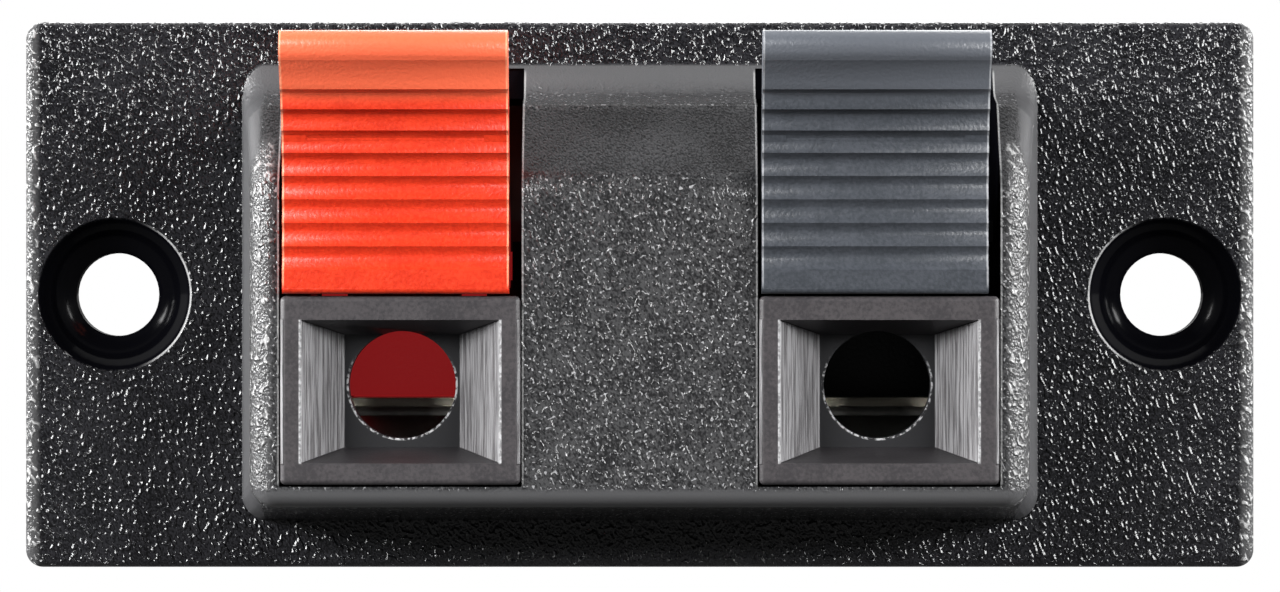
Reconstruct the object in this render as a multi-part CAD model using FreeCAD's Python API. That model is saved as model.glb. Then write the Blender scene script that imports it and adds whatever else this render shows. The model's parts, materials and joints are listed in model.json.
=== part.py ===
import FreeCAD, Part
import math
import os

# Two-pole speaker terminal plate, in millimetres.
# X runs to the right, Z up, and the front faces -Y.
# The origin is the middle of the plate's rear face, halfway between the two screw holes.

# Plate
PLATE_W = 57.0
PLATE_H = 25.3
PLATE_T = 2.8
PLATE_CORNER_R = 0.8
PLATE_EDGE_R = 0.4

# Screw holes, countersunk from the front: a steep cone, then a flatter one down to the hole
SCREW_SPACING = 48.7
SCREW_HOLE_R = 1.93
SINK_R = 3.5
SINK_RIM = 0.08
SINK_MIDDLE_R = 2.85
SINK_MIDDLE_DEPTH = 1.15
SINK_DEPTH = 1.65

# Raised housing, as heights in front of the plate (H_) and levels (Z_)
HOUSING_W = 36.9
HOUSING_H = 6.7
HOUSING_SIDE_DRAFT = 7.6
HOUSING_SIDE_EDGE_R = 1.2
Z_HOUSING_FOOT = -10.46
HOUSING_FOOT_DRAFT = 8.0
HOUSING_FOOT_EDGE_R = 0.7
Z_RELIEF_START = 5.05
RELIEF_ANGLE = 40.0
RELIEF_BEND_R = 2.1
Z_STEP_TOP = 8.72
STEP_LEAN = 10.5
STEP_EDGE_R = 0.4
H_RAMP_TOP = 1.05
RAMP_BEND_R = 1.6
Z_RAMP_END = 10.75
SUNK = 1.0

# Poles: one slot each, for a lever above and a wire socket below
POLE_SPACING = 21.68
SLOT_W = 10.95
Z_SLOT_TOP = 10.46
Z_SLOT_THROUGH = 9.07
Z_SLOT_FOOT = -8.7

# Rear shell behind the plate
SHELL_DEPTH = 9.0
SHELL_W = 36.0
Z_SHELL_TOP = 10.2
Z_SHELL_FOOT = -10.4
Z_SHELL_FLOOR = -9.2
SHELL_CORNER_R = 0.6
CORE_W = 7.2
CORE_FRONT_WALL = 1.5
CORE_END_WALL = 1.4

# Lever pivot, measured in front of the plate and from the middle line
H_PIVOT = 4.2
Z_PIVOT = 1.3
TRUNNION_R = 0.65
TRUNNION_RUN = 0.05
BEARING_DEPTH = 0.75
BEARING_WALL = 0.4
BEARING_TO_LEVER = 0.12
TRUNNION_END_GAP = 0.06

# Lever
LEVER_W = 10.25
LEVER_SHIFT = -0.2
LEVER_WALL = 1.5
LEVER_WEB = 1.1
H_LEVER = 7.3
Z_LEVER_FOOT = 0.03
LEVER_FOOT_R = 0.25
S_BEND = 4.2
BEND_R = 8.0
BEND_ANGLE = 35.0
Z_LEVER_TOP = 11.85
TIP_R = 0.8
TIP_T = 1.9
RIBS = 8
RIB_PITCH = 1.06
S_FIRST_CREST = 1.12
RIB_DEPTH = 0.25
RIB_STEP = 0.42
RIB_SAG = 0.05
STEP_SAG = 0.035
SCOOP_W = 1.55
SCOOP_SAG = 0.1
BOSS_R = 1.0
WEB_BACK = 0.9
WEB_BACK_RISE = 1.6
WEB_RISE = 1.0
ARM_UNDER = -0.3
ARM_TOP = 1.0
TAIL_W = 7.7
TAIL_T = 1.2
TAIL_FRONT_Y = 0.0
Z_TAIL_END = -4.75
WINDOW_W = 5.4
Z_WINDOW_FOOT = -1.68

# Wire socket block
BLOCK_W = 10.86
Z_BLOCK_TOP = -0.07
Z_BLOCK_FOOT = -8.62
BLOCK_PROUD = 0.3
BLOCK_EDGE_R = 0.25
BLOCK_FLOOR_REAR = 3.1
FUNNEL_W = 9.05
FUNNEL_H = 6.5
FUNNEL_R = 0.06
FUNNEL_DEPTH = 2.5
FUNNEL_FLOOR_W = 5.2
FUNNEL_FLOOR_H = 5.15
Z_FUNNEL = -4.4
WIRE_HOLE_R = 2.45
Z_WIRE_HOLE = -4.12
ROOF_SLOPE_Y = 1.5
ROOF_DROP = 0.68
CHEEK_T = 1.13
CHEEK_LAP = 0.5
CHEEK_FRONT_Y = -5.0
Z_CHEEK_TOP = 3.4
BLOCK_REAR_Y = 8.5
REAR_WALL_T = 1.2
REAR_WALL_GAP = 0.07
REAR_WALL_LAP = 0.35
STOP_GAP = 0.15
STOP_BACK_Y = -1.0
STOP_T = 1.6
KEY_SIDE_GAP = 0.07
KEY_GROOVE_GAP = 0.1
KEY_TO_TRUNNION = 0.3
SNAP_W = 2.4
SNAP_REACH = 0.7
SNAP_T = 1.0
SNAP_GAP = 0.1

# Contact bar with its solder tag
CONTACT_T = 0.5
CONTACT_W = 5.0
Z_CONTACT = -1.45
CONTACT_GAP = 0.5
CONTACT_LIP_R = 0.8
SHOULDER_W = 9.4
SHOULDER_FRONT_Y = 3.6
SHOULDER_BACK_Y = 6.6
SHOULDER_GAP = 0.05
TAG_W = 2.8
TAG_END_Y = 15.2
TAG_TIP_CHAMFER = 0.6
TAG_HOLE_R = 0.65
TAG_HOLE_SETBACK = 1.9

# Clamp spring, a hairpin of flat strip
SPRING_T = 0.4
SPRING_W = 5.2
SPRING_SEAT = 0.02
SPRING_FOOT_Y = 0.6
SPRING_BACK_GAP = 0.2
SPRING_FRONT_Y = -4.2
SPRING_CURL_R = 0.45

FRONT_Y = -PLATE_T
PIVOT_Y = -(PLATE_T + H_PIVOT)
FAR = 100.0
LAP = 1.0


def box(x0, x1, y0, y1, z0, z1):
    """Block between two corners."""
    return Part.makeBox(x1 - x0, y1 - y0, z1 - z0, FreeCAD.Vector(x0, y0, z0))


def section_point(height, z, x=0.0):
    """Point of a side section, from its height in front of the plate and its level."""
    return FreeCAD.Vector(x, -(PLATE_T + height), z)


def rounded_outline(corners):
    """Closed wire through corners given as (point, radius), with tangent arcs at them."""
    starts = []
    ends = []
    middles = []
    count = len(corners)
    for i, (corner, radius) in enumerate(corners):
        before = (corners[i - 1][0] - corner).normalize()
        after = (corners[(i + 1) % count][0] - corner).normalize()
        if radius == 0.0:
            starts.append(corner)
            ends.append(corner)
            middles.append(None)
            continue
        half = before.getAngle(after) / 2.0
        reach = radius / math.tan(half)
        middle_line = (before + after).normalize()
        starts.append(corner + before * reach)
        ends.append(corner + after * reach)
        middles.append(corner + middle_line * (radius / math.sin(half) - radius))
    edges = []
    for i in range(count):
        if middles[i] is not None:
            edges.append(Part.Arc(starts[i], middles[i], ends[i]).toShape())
        following = starts[(i + 1) % count]
        if ends[i].distanceToPoint(following) > 1e-6:
            edges.append(Part.LineSegment(ends[i], following).toShape())
    return Part.Wire(edges)


def across(wire, x0, x1):
    """Side section swept straight across from x0 to x1."""
    face = Part.Face(wire)
    face.translate(FreeCAD.Vector(x0 - face.BoundBox.XMin, 0, 0))
    return face.extrude(FreeCAD.Vector(x1 - x0, 0, 0))


def cylinder_x(radius, x0, x1, y, z):
    """Round bar along X."""
    return Part.makeCylinder(radius, x1 - x0, FreeCAD.Vector(x0, y, z), FreeCAD.Vector(1, 0, 0))


def pole_x(side):
    """Middle of a pole's slot; side is -1 for the left pole and 1 for the right."""
    return side * POLE_SPACING / 2.0


def plate():
    """Flat plate with rounded corners and a softened front edge."""
    body = box(-PLATE_W / 2, PLATE_W / 2, FRONT_Y, 0, -PLATE_H / 2, PLATE_H / 2)
    corners = [e for e in body.Edges if e.BoundBox.YLength > PLATE_T / 2]
    body = body.makeFillet(PLATE_CORNER_R, corners)
    rim = [e for e in body.Edges if e.BoundBox.YMax < FRONT_Y + PLATE_EDGE_R]
    return body.makeFillet(PLATE_EDGE_R, rim)


def screw_hole(side):
    """Countersunk screw hole, to be cut from the plate."""
    steps = (
        (SINK_R + SINK_RIM, FRONT_Y - LAP),
        (SINK_R + SINK_RIM, FRONT_Y),
        (SINK_R, FRONT_Y + SINK_RIM),
        (SINK_MIDDLE_R, FRONT_Y + SINK_MIDDLE_DEPTH),
        (SCREW_HOLE_R, FRONT_Y + SINK_DEPTH),
        (SCREW_HOLE_R, LAP),
        (0.0, LAP),
        (0.0, FRONT_Y - LAP),
        (SINK_R + SINK_RIM, FRONT_Y - LAP),
    )
    outline = Part.makePolygon([FreeCAD.Vector(radius, y, 0) for radius, y in steps])
    hole = Part.Face(outline).revolve(FreeCAD.Vector(0, 0, 0), FreeCAD.Vector(0, 1, 0), 360)
    hole.translate(FreeCAD.Vector(side * SCREW_SPACING / 2.0, 0, 0))
    return hole


def raised_housing():
    """Raised front of the moulding: drafted walls, a thumb relief and a ramp at the top."""
    foot_run = math.tan(math.radians(HOUSING_FOOT_DRAFT))
    relief = math.tan(math.radians(RELIEF_ANGLE))
    step_height = HOUSING_H - (Z_STEP_TOP - Z_RELIEF_START) * relief
    z_ramp_top = Z_STEP_TOP + (step_height - H_RAMP_TOP) * math.tan(math.radians(STEP_LEAN))
    profile = rounded_outline([
        (section_point(-SUNK, Z_HOUSING_FOOT - SUNK * foot_run), 0.0),
        (section_point(HOUSING_H, Z_HOUSING_FOOT + HOUSING_H * foot_run), 0.0),
        (section_point(HOUSING_H, Z_RELIEF_START), RELIEF_BEND_R),
        (section_point(step_height, Z_STEP_TOP), 0.0),
        (section_point(H_RAMP_TOP, z_ramp_top), RAMP_BEND_R),
        (section_point(0.0, Z_RAMP_END), 0.0),
        (section_point(-SUNK, Z_RAMP_END), 0.0),
    ])
    body = across(profile, -HOUSING_W / 2 - SUNK, HOUSING_W / 2 + SUNK)
    side_run = math.tan(math.radians(HOUSING_SIDE_DRAFT))
    foot = HOUSING_W / 2 + SUNK * side_run
    head = HOUSING_W / 2 - HOUSING_H * side_run
    trapezium = Part.makePolygon([
        FreeCAD.Vector(-foot, -(PLATE_T - SUNK), -FAR),
        FreeCAD.Vector(foot, -(PLATE_T - SUNK), -FAR),
        FreeCAD.Vector(head, -(PLATE_T + HOUSING_H), -FAR),
        FreeCAD.Vector(-head, -(PLATE_T + HOUSING_H), -FAR),
        FreeCAD.Vector(-foot, -(PLATE_T - SUNK), -FAR),
    ])
    body = body.common(Part.Face(trapezium).extrude(FreeCAD.Vector(0, 0, 2 * FAR)))
    side_edges = []
    for edge in body.Edges:
        middle = edge.valueAt((edge.FirstParameter + edge.LastParameter) / 2.0)
        height = -middle.y - PLATE_T
        on_side = abs(abs(middle.x) - (HOUSING_W / 2 - height * side_run)) < 0.01
        if on_side and height > 0.0 and edge.BoundBox.XLength < HOUSING_H:
            side_edges.append(edge)
    body = body.makeFillet(HOUSING_SIDE_EDGE_R, side_edges)
    front_y = -(PLATE_T + HOUSING_H)
    foot_edge = [e for e in body.Edges if e.BoundBox.XLength > HOUSING_W / 2
                 and e.BoundBox.YMin < front_y + 0.05 and e.BoundBox.ZMax < 0]
    body = body.makeFillet(HOUSING_FOOT_EDGE_R, foot_edge)
    step_edge = [e for e in body.Edges if e.BoundBox.XLength > HOUSING_W / 2
                 and abs(e.BoundBox.ZMax - Z_STEP_TOP) < 0.05]
    return body.makeFillet(STEP_EDGE_R, step_edge)


def rear_shell():
    """Block behind the plate that goes through the panel; the pole slots hollow it out."""
    shell = box(-SHELL_W / 2, SHELL_W / 2, -SUNK, SHELL_DEPTH, Z_SHELL_FOOT, Z_SHELL_TOP)
    corners = [e for e in shell.Edges if e.BoundBox.YLength > SHELL_DEPTH / 2]
    return shell.makeFillet(SHELL_CORNER_R, corners)


def pole_slot(side):
    """Space cut from the moulding for one pole."""
    x = pole_x(side)
    half = SLOT_W / 2.0
    block_floor_y = -(PLATE_T + BLOCK_FLOOR_REAR)
    slot = box(x - half, x + half, -FAR, FAR, Z_SLOT_FOOT, Z_SLOT_THROUGH)
    slot = slot.fuse(box(x - half, x + half, -FAR, FRONT_Y, Z_SLOT_THROUGH - LAP, Z_SLOT_TOP))
    slot = slot.fuse(box(x - half, x + half, block_floor_y, FAR, Z_SHELL_FLOOR, Z_SLOT_FOOT + LAP))
    # The block's rear wall laps behind the slot's upper end
    lap_y = BLOCK_REAR_Y - REAR_WALL_T - REAR_WALL_GAP
    lap_top = Z_SLOT_THROUGH + REAR_WALL_LAP
    slot = slot.fuse(box(x - half, x + half, lap_y, FAR, Z_SLOT_THROUGH - LAP, lap_top))
    # A raised bearing closes the wider gap on the right of the lever
    seat = TRUNNION_R + TRUNNION_RUN
    around = seat + BEARING_WALL
    bearing_x = x + LEVER_SHIFT + LEVER_W / 2.0 + BEARING_TO_LEVER
    bearing_end_y = CHEEK_FRONT_Y - BEARING_WALL
    slot = slot.cut(box(bearing_x, x + half, PIVOT_Y - around, bearing_end_y,
                        Z_PIVOT - around, Z_PIVOT + around))
    reach = half + BEARING_DEPTH
    slot = slot.fuse(cylinder_x(seat, x - reach, x + reach, PIVOT_Y, Z_PIVOT))
    slot = slot.fuse(box(x - reach, x + reach, PIVOT_Y, FAR, Z_PIVOT - seat, Z_PIVOT + seat))
    snap_y = BLOCK_REAR_Y - REAR_WALL_T
    half_snap = SNAP_W / 2.0 + SNAP_GAP
    snap = box(x - half_snap, x + half_snap, snap_y - SNAP_GAP, snap_y + SNAP_T + SNAP_GAP,
               -FAR, Z_SHELL_FLOOR + LAP)
    return slot.fuse(snap)


def middle_core():
    """Hollow moulded into the back between the two poles."""
    front = -(PLATE_T + HOUSING_H - CORE_FRONT_WALL)
    low = Z_SHELL_FOOT + CORE_END_WALL
    high = Z_RELIEF_START - CORE_END_WALL
    core = box(-CORE_W / 2, CORE_W / 2, front, FAR, low, high)
    top = box(-CORE_W / 2, CORE_W / 2, FRONT_Y + CORE_END_WALL, FAR, high - LAP, Z_SHELL_TOP - CORE_END_WALL)
    return core.fuse(top)


def face_plate():
    """Plate, raised housing and rear shell, moulded in one."""
    body = plate().fuse(raised_housing()).fuse(rear_shell()).removeSplitter()
    for side in (-1, 1):
        body = body.cut(screw_hole(side))
        body = body.cut(pole_slot(side))
    return body.cut(middle_core())


def thumb_point(s, depth=0.0):
    """Point of the lever's thumb face at arc length s from the middle line, sunk by depth."""
    bend_angle = math.radians(BEND_ANGLE)
    bend_length = BEND_R * bend_angle
    if s <= S_BEND:
        angle = 0.0
        height = H_LEVER
        z = s
    elif s <= S_BEND + bend_length:
        angle = (s - S_BEND) / BEND_R
        height = H_LEVER + BEND_R * (1.0 - math.cos(angle))
        z = S_BEND + BEND_R * math.sin(angle)
    else:
        angle = bend_angle
        rest = s - S_BEND - bend_length
        height = H_LEVER + BEND_R * (1.0 - math.cos(angle)) + rest * math.sin(angle)
        z = S_BEND + BEND_R * math.sin(angle) + rest * math.cos(angle)
    return section_point(height - depth * math.cos(angle), z + depth * math.sin(angle))


def scallop(start, end, sag):
    """Shallow hollow between two points of the thumb face."""
    chord = end - start
    inward = FreeCAD.Vector(0, chord.z, -chord.y).normalize()
    middle = (start + end) * 0.5 + inward * sag
    return Part.Arc(start, middle, end).toShape()


def line(start, end):
    """Straight edge."""
    return Part.LineSegment(start, end).toShape()


def thumb_wall():
    """Side section of the lever's thumb wall, with its ribs, bend and rounded tip."""
    angle = math.radians(BEND_ANGLE)
    foot = thumb_point(Z_LEVER_FOOT)
    here = section_point(H_LEVER, Z_LEVER_FOOT + LEVER_FOOT_R)
    foot_corner = section_point(H_LEVER - LEVER_FOOT_R, Z_LEVER_FOOT)
    turn = LEVER_FOOT_R * (1.0 - math.sqrt(0.5))
    edges = [Part.Arc(foot_corner, foot + FreeCAD.Vector(0, turn, turn), here).toShape()]
    edges.append(line(here, thumb_point(S_FIRST_CREST)))
    for rib in range(RIBS):
        s_low = S_FIRST_CREST + rib * RIB_PITCH
        s_high = s_low + RIB_PITCH
        deep = thumb_point(s_high - RIB_STEP, RIB_DEPTH)
        edges.append(scallop(thumb_point(s_low), deep, RIB_SAG))
        edges.append(scallop(deep, thumb_point(s_high), STEP_SAG))
    scoop_start = thumb_point(s_high)
    here = thumb_point(s_high + SCOOP_W)
    edges.append(scallop(scoop_start, here, SCOOP_SAG))
    # The tip leaves the last hollow straight, turns over in one arc and comes back below
    outward = FreeCAD.Vector(0, -math.cos(angle), -math.sin(angle))
    along = FreeCAD.Vector(0, -math.sin(angle), math.cos(angle))
    tip_run = (Z_LEVER_TOP - TIP_R * (1.0 + math.sin(angle)) - here.z) / math.cos(angle)
    tip_start = here + along * tip_run
    tip_centre = tip_start - outward * TIP_R
    tip_top = tip_centre + FreeCAD.Vector(0, 0, TIP_R)
    swing = (outward + FreeCAD.Vector(0, 0, 1)).normalize()
    edges.append(line(here, tip_start))
    edges.append(Part.Arc(tip_start, tip_centre + swing * TIP_R, tip_top).toShape())
    tip_back = tip_top + FreeCAD.Vector(0, TIP_T - TIP_R, 0)
    edges.append(line(tip_top, tip_back))
    under = thumb_point(S_BEND + BEND_R * angle, LEVER_WALL)
    inner_mid_angle = angle / 2.0
    inner_mid = section_point(
        H_LEVER + BEND_R * (1.0 - math.cos(inner_mid_angle)) - LEVER_WALL * math.cos(inner_mid_angle),
        S_BEND + BEND_R * math.sin(inner_mid_angle) + LEVER_WALL * math.sin(inner_mid_angle))
    inner_low = thumb_point(S_BEND, LEVER_WALL)
    inner_foot = section_point(H_LEVER - LEVER_WALL, Z_LEVER_FOOT)
    edges.append(line(tip_back, under))
    edges.append(Part.Arc(under, inner_mid, inner_low).toShape())
    edges.append(line(inner_low, inner_foot))
    edges.append(line(inner_foot, foot_corner))
    return Part.Wire(Part.__sortEdges__(edges))


def side_web():
    """Side section of a web that stiffens the lever behind its thumb wall."""
    angle = math.radians(BEND_ANGLE)
    high = thumb_point(S_BEND + BEND_R * angle + WEB_RISE, LEVER_WALL / 2.0)
    return Part.makePolygon([
        section_point(H_LEVER - LEVER_WALL / 2.0, Z_LEVER_FOOT + LEVER_WALL / 2.0),
        section_point(H_PIVOT, Z_PIVOT - BOSS_R),
        section_point(H_PIVOT - WEB_BACK, Z_PIVOT),
        section_point(H_PIVOT - WEB_BACK, Z_PIVOT + WEB_BACK_RISE),
        high,
        thumb_point(S_BEND, LEVER_WALL / 2.0),
        section_point(H_LEVER - LEVER_WALL / 2.0, Z_LEVER_FOOT + LEVER_WALL / 2.0),
    ])


def lever(side):
    """Push lever: thumb wall, webs, trunnions, and an arm with its windowed tail."""
    x = pole_x(side) + LEVER_SHIFT
    half = LEVER_W / 2.0
    wall = across(thumb_wall(), x - half, x + half)
    body = wall
    for edge_side in (-1, 1):
        outer = x + edge_side * half
        inner = outer - edge_side * LEVER_WEB
        body = body.fuse(across(side_web(), min(outer, inner), max(outer, inner)))
    body = body.fuse(cylinder_x(BOSS_R, x - half, x + half, PIVOT_Y, Z_PIVOT))
    inner_wall_y = -(PLATE_T + H_LEVER - LEVER_WALL / 2.0)
    beam_low = Z_LEVER_FOOT + LEVER_WALL / 2.0
    body = body.fuse(box(x - half, x + half, inner_wall_y, PIVOT_Y, beam_low, Z_PIVOT + BOSS_R))
    reach = SLOT_W / 2.0 + BEARING_DEPTH - TRUNNION_END_GAP + LEVER_SHIFT
    body = body.fuse(cylinder_x(TRUNNION_R, x - reach, x + reach, PIVOT_Y, Z_PIVOT))
    tail_half = TAIL_W / 2.0
    tail_back = TAIL_FRONT_Y + TAIL_T
    arm_low = Z_PIVOT + ARM_UNDER
    arm_high = Z_PIVOT + ARM_TOP
    body = body.fuse(box(x - tail_half, x + tail_half, PIVOT_Y, tail_back, arm_low, arm_high))
    tail = box(x - tail_half, x + tail_half, TAIL_FRONT_Y, tail_back, Z_TAIL_END, arm_high)
    window_half = WINDOW_W / 2.0
    tail = tail.cut(box(x - window_half, x + window_half, -FAR, FAR, Z_WINDOW_FOOT, arm_low))
    return body.fuse(tail).removeSplitter()


def funnel(x):
    """Space of the funnel that leads a wire into its hole."""
    face_y = -(PLATE_T + HOUSING_H + BLOCK_PROUD)
    floor_y = face_y + FUNNEL_DEPTH
    rings = []
    for y, w, h in ((face_y, FUNNEL_W, FUNNEL_H), (floor_y, FUNNEL_FLOOR_W, FUNNEL_FLOOR_H)):
        corners = []
        for u, v in ((-1, -1), (1, -1), (1, 1), (-1, 1)):
            corners.append((FreeCAD.Vector(x + u * w / 2.0, y, Z_FUNNEL + v * h / 2.0), FUNNEL_R))
        rings.append(rounded_outline(corners))
    return Part.makeLoft(rings, True, True)


def wire_block(side):
    """Socket block: funnel and wire hole in front, cheeks, lever stop and rear wall behind."""
    x = pole_x(side)
    half = BLOCK_W / 2.0
    face_y = -(PLATE_T + HOUSING_H + BLOCK_PROUD)
    floor_rear_y = -(PLATE_T + BLOCK_FLOOR_REAR)
    front = box(x - half, x + half, face_y, floor_rear_y, Z_BLOCK_FOOT, Z_BLOCK_TOP)
    soft = []
    for edge in front.Edges:
        limits = edge.BoundBox
        if limits.YMax < face_y + BLOCK_EDGE_R or limits.YLength > BLOCK_PROUD:
            soft.append(edge)
    front = front.makeFillet(BLOCK_EDGE_R, soft)
    roof = across(Part.makePolygon([
        FreeCAD.Vector(0, floor_rear_y - ROOF_SLOPE_Y, Z_BLOCK_TOP),
        FreeCAD.Vector(0, floor_rear_y, Z_BLOCK_TOP - ROOF_DROP),
        FreeCAD.Vector(0, floor_rear_y + LAP, Z_BLOCK_TOP),
        FreeCAD.Vector(0, floor_rear_y - ROOF_SLOPE_Y, Z_BLOCK_TOP),
    ]), x - half, x + half)
    front = front.cut(roof).cut(funnel(x))
    into = FreeCAD.Vector(0, 1, 0)
    hole_start = FreeCAD.Vector(x, face_y, Z_WIRE_HOLE)
    front = front.cut(Part.makeCylinder(WIRE_HOLE_R, floor_rear_y - face_y + LAP, hole_start, into))
    body = front
    rear_front_y = BLOCK_REAR_Y - REAR_WALL_T
    key_half = TRUNNION_R + TRUNNION_RUN - KEY_GROOVE_GAP
    key_low = Z_PIVOT - key_half
    key_high = Z_PIVOT + key_half
    key_front_y = PIVOT_Y + TRUNNION_R + KEY_TO_TRUNNION
    for cheek_side in (-1, 1):
        outer = x + cheek_side * half
        inner = outer - cheek_side * CHEEK_T
        lo, hi = min(outer, inner), max(outer, inner)
        cheek_step = Z_BLOCK_TOP - ROOF_DROP
        body = body.fuse(box(lo, hi, floor_rear_y - CHEEK_LAP, BLOCK_REAR_Y, Z_BLOCK_FOOT, cheek_step))
        body = body.fuse(box(lo, hi, CHEEK_FRONT_Y, BLOCK_REAR_Y, cheek_step - LAP, Z_CHEEK_TOP))
        key_out = x + cheek_side * (SLOT_W / 2.0 + BEARING_DEPTH - KEY_SIDE_GAP)
        key_in = x + cheek_side * half
        lo, hi = min(key_out, key_in), max(key_out, key_in)
        body = body.fuse(box(lo, hi, key_front_y, BLOCK_REAR_Y, key_low, key_high))
    stop_low = Z_PIVOT + ARM_TOP + STOP_GAP
    body = body.fuse(box(x - half, x + half, STOP_BACK_Y - STOP_T, STOP_BACK_Y, stop_low, Z_CHEEK_TOP))
    rear_top = Z_SLOT_THROUGH + REAR_WALL_LAP - REAR_WALL_GAP
    rear_low = Z_SHELL_FLOOR + REAR_WALL_GAP
    body = body.fuse(box(x - half, x + half, rear_front_y, BLOCK_REAR_Y, rear_low, rear_top))
    snap_low = Z_SHELL_FLOOR - SNAP_REACH
    snap = across(Part.makePolygon([
        FreeCAD.Vector(0, rear_front_y, Z_BLOCK_FOOT),
        FreeCAD.Vector(0, rear_front_y, Z_SHELL_FLOOR),
        FreeCAD.Vector(0, rear_front_y + SNAP_T, snap_low),
        FreeCAD.Vector(0, rear_front_y + SNAP_T, Z_BLOCK_FOOT),
        FreeCAD.Vector(0, rear_front_y, Z_BLOCK_FOOT),
    ]), x - SNAP_W / 2.0, x + SNAP_W / 2.0)
    body = body.fuse(snap)
    groove_half = SHOULDER_W / 2.0 + SHOULDER_GAP
    groove_low = Z_CONTACT - SHOULDER_GAP
    groove_high = Z_CONTACT + CONTACT_T + SHOULDER_GAP
    groove_y = SHOULDER_FRONT_Y - SHOULDER_GAP
    body = body.cut(box(x - groove_half, x + groove_half, groove_y, FAR, groove_low, groove_high))
    return body.removeSplitter()


def contact_bar(side):
    """Contact bar: rolled lip in front, shoulders held by the block, solder tag behind."""
    x = pole_x(side)
    half = CONTACT_W / 2.0
    lip_y = TAIL_FRONT_Y + TAIL_T + CONTACT_GAP + CONTACT_LIP_R
    top = Z_CONTACT + CONTACT_T
    centre = FreeCAD.Vector(0, lip_y, top - CONTACT_LIP_R)
    inner_r = CONTACT_LIP_R - CONTACT_T
    diagonal = math.sqrt(0.5)
    outline = [
        Part.Arc(centre + FreeCAD.Vector(0, 0, CONTACT_LIP_R),
                 centre + FreeCAD.Vector(0, -CONTACT_LIP_R * diagonal, CONTACT_LIP_R * diagonal),
                 centre + FreeCAD.Vector(0, -CONTACT_LIP_R, 0)).toShape(),
        line(centre + FreeCAD.Vector(0, -CONTACT_LIP_R, 0), centre + FreeCAD.Vector(0, -inner_r, 0)),
        Part.Arc(centre + FreeCAD.Vector(0, -inner_r, 0),
                 centre + FreeCAD.Vector(0, -inner_r * diagonal, inner_r * diagonal),
                 centre + FreeCAD.Vector(0, 0, inner_r)).toShape(),
        line(centre + FreeCAD.Vector(0, 0, inner_r), FreeCAD.Vector(0, SHOULDER_BACK_Y, Z_CONTACT)),
        line(FreeCAD.Vector(0, SHOULDER_BACK_Y, Z_CONTACT), FreeCAD.Vector(0, SHOULDER_BACK_Y, top)),
        line(FreeCAD.Vector(0, SHOULDER_BACK_Y, top), centre + FreeCAD.Vector(0, 0, CONTACT_LIP_R)),
    ]
    body = across(Part.Wire(outline), x - half, x + half)
    shoulder = SHOULDER_W / 2.0
    body = body.fuse(box(x - shoulder, x + shoulder, SHOULDER_FRONT_Y, SHOULDER_BACK_Y, Z_CONTACT, top))
    tag = box(x - TAG_W / 2, x + TAG_W / 2, SHOULDER_BACK_Y - LAP, TAG_END_Y, Z_CONTACT, top)
    tip = [e for e in tag.Edges if e.BoundBox.YMin > TAG_END_Y - CONTACT_T
           and e.BoundBox.ZLength > CONTACT_T / 2]
    tag = tag.makeChamfer(TAG_TIP_CHAMFER, tip)
    eye_start = FreeCAD.Vector(x, TAG_END_Y - TAG_HOLE_SETBACK, Z_CONTACT - LAP)
    tag = tag.cut(Part.makeCylinder(TAG_HOLE_R, CONTACT_T + 2 * LAP, eye_start))
    return body.fuse(tag).removeSplitter()


def clamp_spring(side):
    """Hairpin of flat strip: foot on the shell floor, bend at the back, free leg under the tail."""
    x = pole_x(side)
    half = SPRING_W / 2.0
    low = Z_SHELL_FLOOR + SPRING_SEAT
    high = Z_TAIL_END - SPRING_SEAT
    outer_r = (high - low) / 2.0
    inner_r = outer_r - SPRING_T
    middle_z = (high + low) / 2.0
    bend_y = BLOCK_REAR_Y - REAR_WALL_T - SPRING_BACK_GAP - outer_r
    curl_y = SPRING_FRONT_Y + SPRING_CURL_R + SPRING_T
    curl_outer = SPRING_CURL_R + SPRING_T
    curl_z = high - curl_outer
    diagonal = math.sqrt(0.5)

    def at(y, z):
        return FreeCAD.Vector(0, y, z)

    edges = [
        line(at(SPRING_FOOT_Y, low), at(bend_y, low)),
        Part.Arc(at(bend_y, low), at(bend_y + outer_r, middle_z), at(bend_y, high)).toShape(),
        line(at(bend_y, high), at(curl_y, high)),
        Part.Arc(at(curl_y, high), at(curl_y - curl_outer * diagonal, curl_z + curl_outer * diagonal),
                 at(curl_y - curl_outer, curl_z)).toShape(),
        line(at(curl_y - curl_outer, curl_z), at(curl_y - SPRING_CURL_R, curl_z)),
        Part.Arc(at(curl_y - SPRING_CURL_R, curl_z),
                 at(curl_y - SPRING_CURL_R * diagonal, curl_z + SPRING_CURL_R * diagonal),
                 at(curl_y, curl_z + SPRING_CURL_R)).toShape(),
        line(at(curl_y, high - SPRING_T), at(bend_y, high - SPRING_T)),
        Part.Arc(at(bend_y, high - SPRING_T), at(bend_y + inner_r, middle_z),
                 at(bend_y, low + SPRING_T)).toShape(),
        line(at(bend_y, low + SPRING_T), at(SPRING_FOOT_Y, low + SPRING_T)),
        line(at(SPRING_FOOT_Y, low + SPRING_T), at(SPRING_FOOT_Y, low)),
    ]
    return across(Part.Wire(edges), x - half, x + half)


def save(shape, name):
    """Write one piece and print what it measures."""
    limits = shape.BoundBox
    sides = (limits.XMin, limits.XMax, limits.YMin, limits.YMax, limits.ZMin, limits.ZMax)
    print(name, len(shape.Solids), "solid", shape.isValid(), round(shape.Volume, 2), "mm3",
          [round(v, 2) for v in sides])
    shape.exportStep("parts/" + name + ".step")


def main():
    os.makedirs("parts", exist_ok=True)
    save(face_plate(), "face_plate")
    for side, name in ((-1, "left"), (1, "right")):
        save(lever(side), "lever_" + name)
        save(wire_block(side), "wire_block_" + name)
        save(contact_bar(side), "contact_bar_" + name)
        save(clamp_spring(side), "clamp_spring_" + name)


main()
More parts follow.
